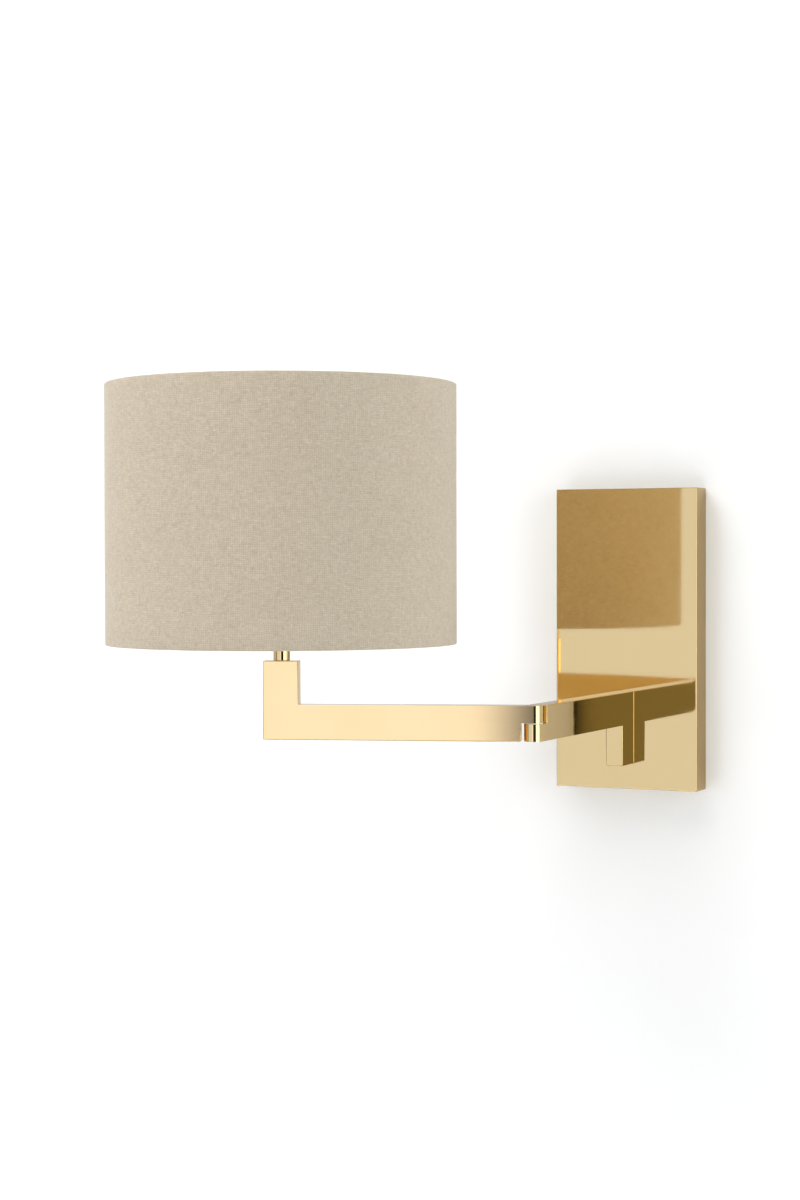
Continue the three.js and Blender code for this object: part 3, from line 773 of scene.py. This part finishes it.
def wall_with_opening(material):
    """The wall, with the box for the cables left open behind the plate, well inside its outline."""
    side, top = ROOM["half_width"], ROOM["top"]
    low, high = plate_low.xz + Vector((OPENING_INSET,) * 2), plate_high.xz - Vector((OPENING_INSET,) * 2)
    outer = [(-side, FLOOR_Z), (side, FLOOR_Z), (side, top), (-side, top)]
    inner = [(low.x, low.y), (high.x, low.y), (high.x, high.y), (low.x, high.y)]
    corners = [(x, WALL_Y, z) for x, z in outer + inner]
    return stage_mesh("wall", corners, [(i, (i + 1) % 4, 4 + (i + 1) % 4, 4 + i) for i in range(4)], material)


def floor(material):
    side, depth = ROOM["half_width"], ROOM["depth"]
    corners = [(-side, -depth, FLOOR_Z), (side, -depth, FLOOR_Z), (side, WALL_Y, FLOOR_Z), (-side, WALL_Y, FLOOR_Z)]
    return stage_mesh("floor", corners, [(0, 1, 2, 3)], material)


pale = one_sided("pale_wall", (0.95, 0.94, 0.925), 0.9)
wall_with_opening(pale)
floor(pale)

# ---------------------------------------------------------------- lights

MIDDLE = Vector((-0.05, -0.15, 0))
DAYLIGHT, COOL, GREEN = (1, 1.08, 1.15), (1, 1.08, 1.12), (1, 1.10, 0.80)
LEFT_TINT, KEY_TINT, SKY_TINT = (1, 1.10, 1.39), (1, 1.07, 1.45), (1, 1.05, 1.1)
WARM, ROSE = (1, 0.98, 0.98), (1, 0.96, 0.98)


def faded(data, rim):
    """Makes a rectangular light fade out towards one side, over a rim that is a share of its width."""
    data.use_nodes = True
    tree = data.node_tree
    across = tree.nodes.new("ShaderNodeSeparateXYZ")
    tree.links.new(tree.nodes.new("ShaderNodeNewGeometry").outputs["Parametric"], across.inputs[0])
    fade = tree.nodes.new("ShaderNodeMapRange")
    fade.interpolation_type = "SMOOTHSTEP"
    fade.inputs["From Min"].default_value = 1
    fade.inputs["From Max"].default_value = 1 - rim
    tree.links.new(across.outputs["X"], fade.inputs["Value"])
    tree.links.new(fade.outputs[0], tree.nodes["Emission"].inputs["Strength"])


def softbox(name, place, target, size, radiance, tint=(1, 1, 1), rim=0.0, mirrored=True, lighting=True):
    """A rectangular light, of a width and a height, whose face has that radiance.

    The brass shows it only if it is mirrored, and cloth and wall are lit by it only if it is lighting.
    """
    data = bpy.data.lights.new(name, "AREA")
    data.shape = "RECTANGLE"
    data.size, data.size_y = size
    data.energy = radiance * math.pi * size[0] * size[1]
    data.color = tint
    if rim:
        faded(data, rim)
    light = bpy.data.objects.new(name, data)
    light.location = place
    light.rotation_euler = (Vector(target) - Vector(place)).to_track_quat("-Z", "Y").to_euler()
    light.visible_camera = False
    light.visible_glossy = mirrored
    light.visible_diffuse = lighting
    bpy.context.scene.collection.objects.link(light)
    return light


def card(name, azimuths, reach, distance, radiance, tint=(1, 1, 1), rim=0.0, lighting=False):
    """An upright softbox round the object: azimuths in degrees from -y towards +x, its reach from low to high."""
    turn = math.radians(sum(azimuths) / 2)
    width = 2 * distance * math.tan(math.radians(azimuths[1] - azimuths[0]) / 2)
    target = MIDDLE + Vector((0, 0, sum(reach) / 2))
    place = target + distance * Vector((math.sin(turn), -math.cos(turn), 0))
    return softbox(name, place, target, (width, reach[1] - reach[0]), radiance, tint, rim, lighting=lighting)


# What the polished brass shows. The dark gaps between the cards draw its edges.
card("card_left", (-42, 3), (-1.0, 1.3), 2.7, 0.89, LEFT_TINT)
card("card_key", (3, 17.5), (-1.0, 1.3), 2.7, 1.3, KEY_TINT, rim=0.25)
card("card_camera", (17.0, 24.1), (-1.0, 1.3), 2.7, 0.26, GREEN)
softbox("card_above", (0, -1.5, 2.6), (0, -1.5, 0), (5.0, 4.0), 0.5, SKY_TINT, lighting=False)
# What it shows at its sides, which also lights the cloth and the wall.
card("side_left", (-92, -52), (-0.4, 2.1), 2.2, 0.6, DAYLIGHT, lighting=True)
card("side_right", (52, 104), (-0.6, 1.7), 2.4, 2.6, COOL, lighting=True)
# What lights the cloth and the wall only, and what lights the back of the plate through the wall's opening.
softbox("fill_left", (-1.7, -2.1, 0.3), MIDDLE, (1.8, 2.0), 1.95, WARM, mirrored=False)
softbox("fill_low", (-0.4, -2.0, -0.95), MIDDLE, (2.4, 1.0), 0.9, DAYLIGHT, mirrored=False)
softbox("fill_high_left", (-1.3, -1.6, 2.1), MIDDLE, (1.6, 1.6), 4.6, COOL, mirrored=False)
softbox("behind_wall", (0.5, 1.7, 0.6), MIDDLE, (1.6, 1.6), 3.0)
softbox("fill_top", (0, -1.2, 2.3), MIDDLE, (2.4, 1.6), 2.9, ROSE, mirrored=False)

SURROUND = {"lighting": 0.03, "seen": 0.9}


def surround():
    """White all round: bright where the camera sees it, and dim as light, so that the softboxes do the lighting."""
    world = bpy.data.worlds.new("studio")
    bpy.context.scene.world = world
    world.use_nodes = True
    tree = world.node_tree
    background = tree.nodes["Background"]
    background.inputs["Color"].default_value = (1, 1, 1, 1)
    strength = tree.nodes.new("ShaderNodeMapRange")
    strength.inputs["To Min"].default_value = SURROUND["lighting"]
    strength.inputs["To Max"].default_value = SURROUND["seen"]
    tree.links.new(tree.nodes.new("ShaderNodeLightPath").outputs["Is Camera Ray"], strength.inputs["Value"])
    tree.links.new(strength.outputs[0], background.inputs["Strength"])
    bpy.context.scene.view_settings.view_transform = "Standard"


surround()
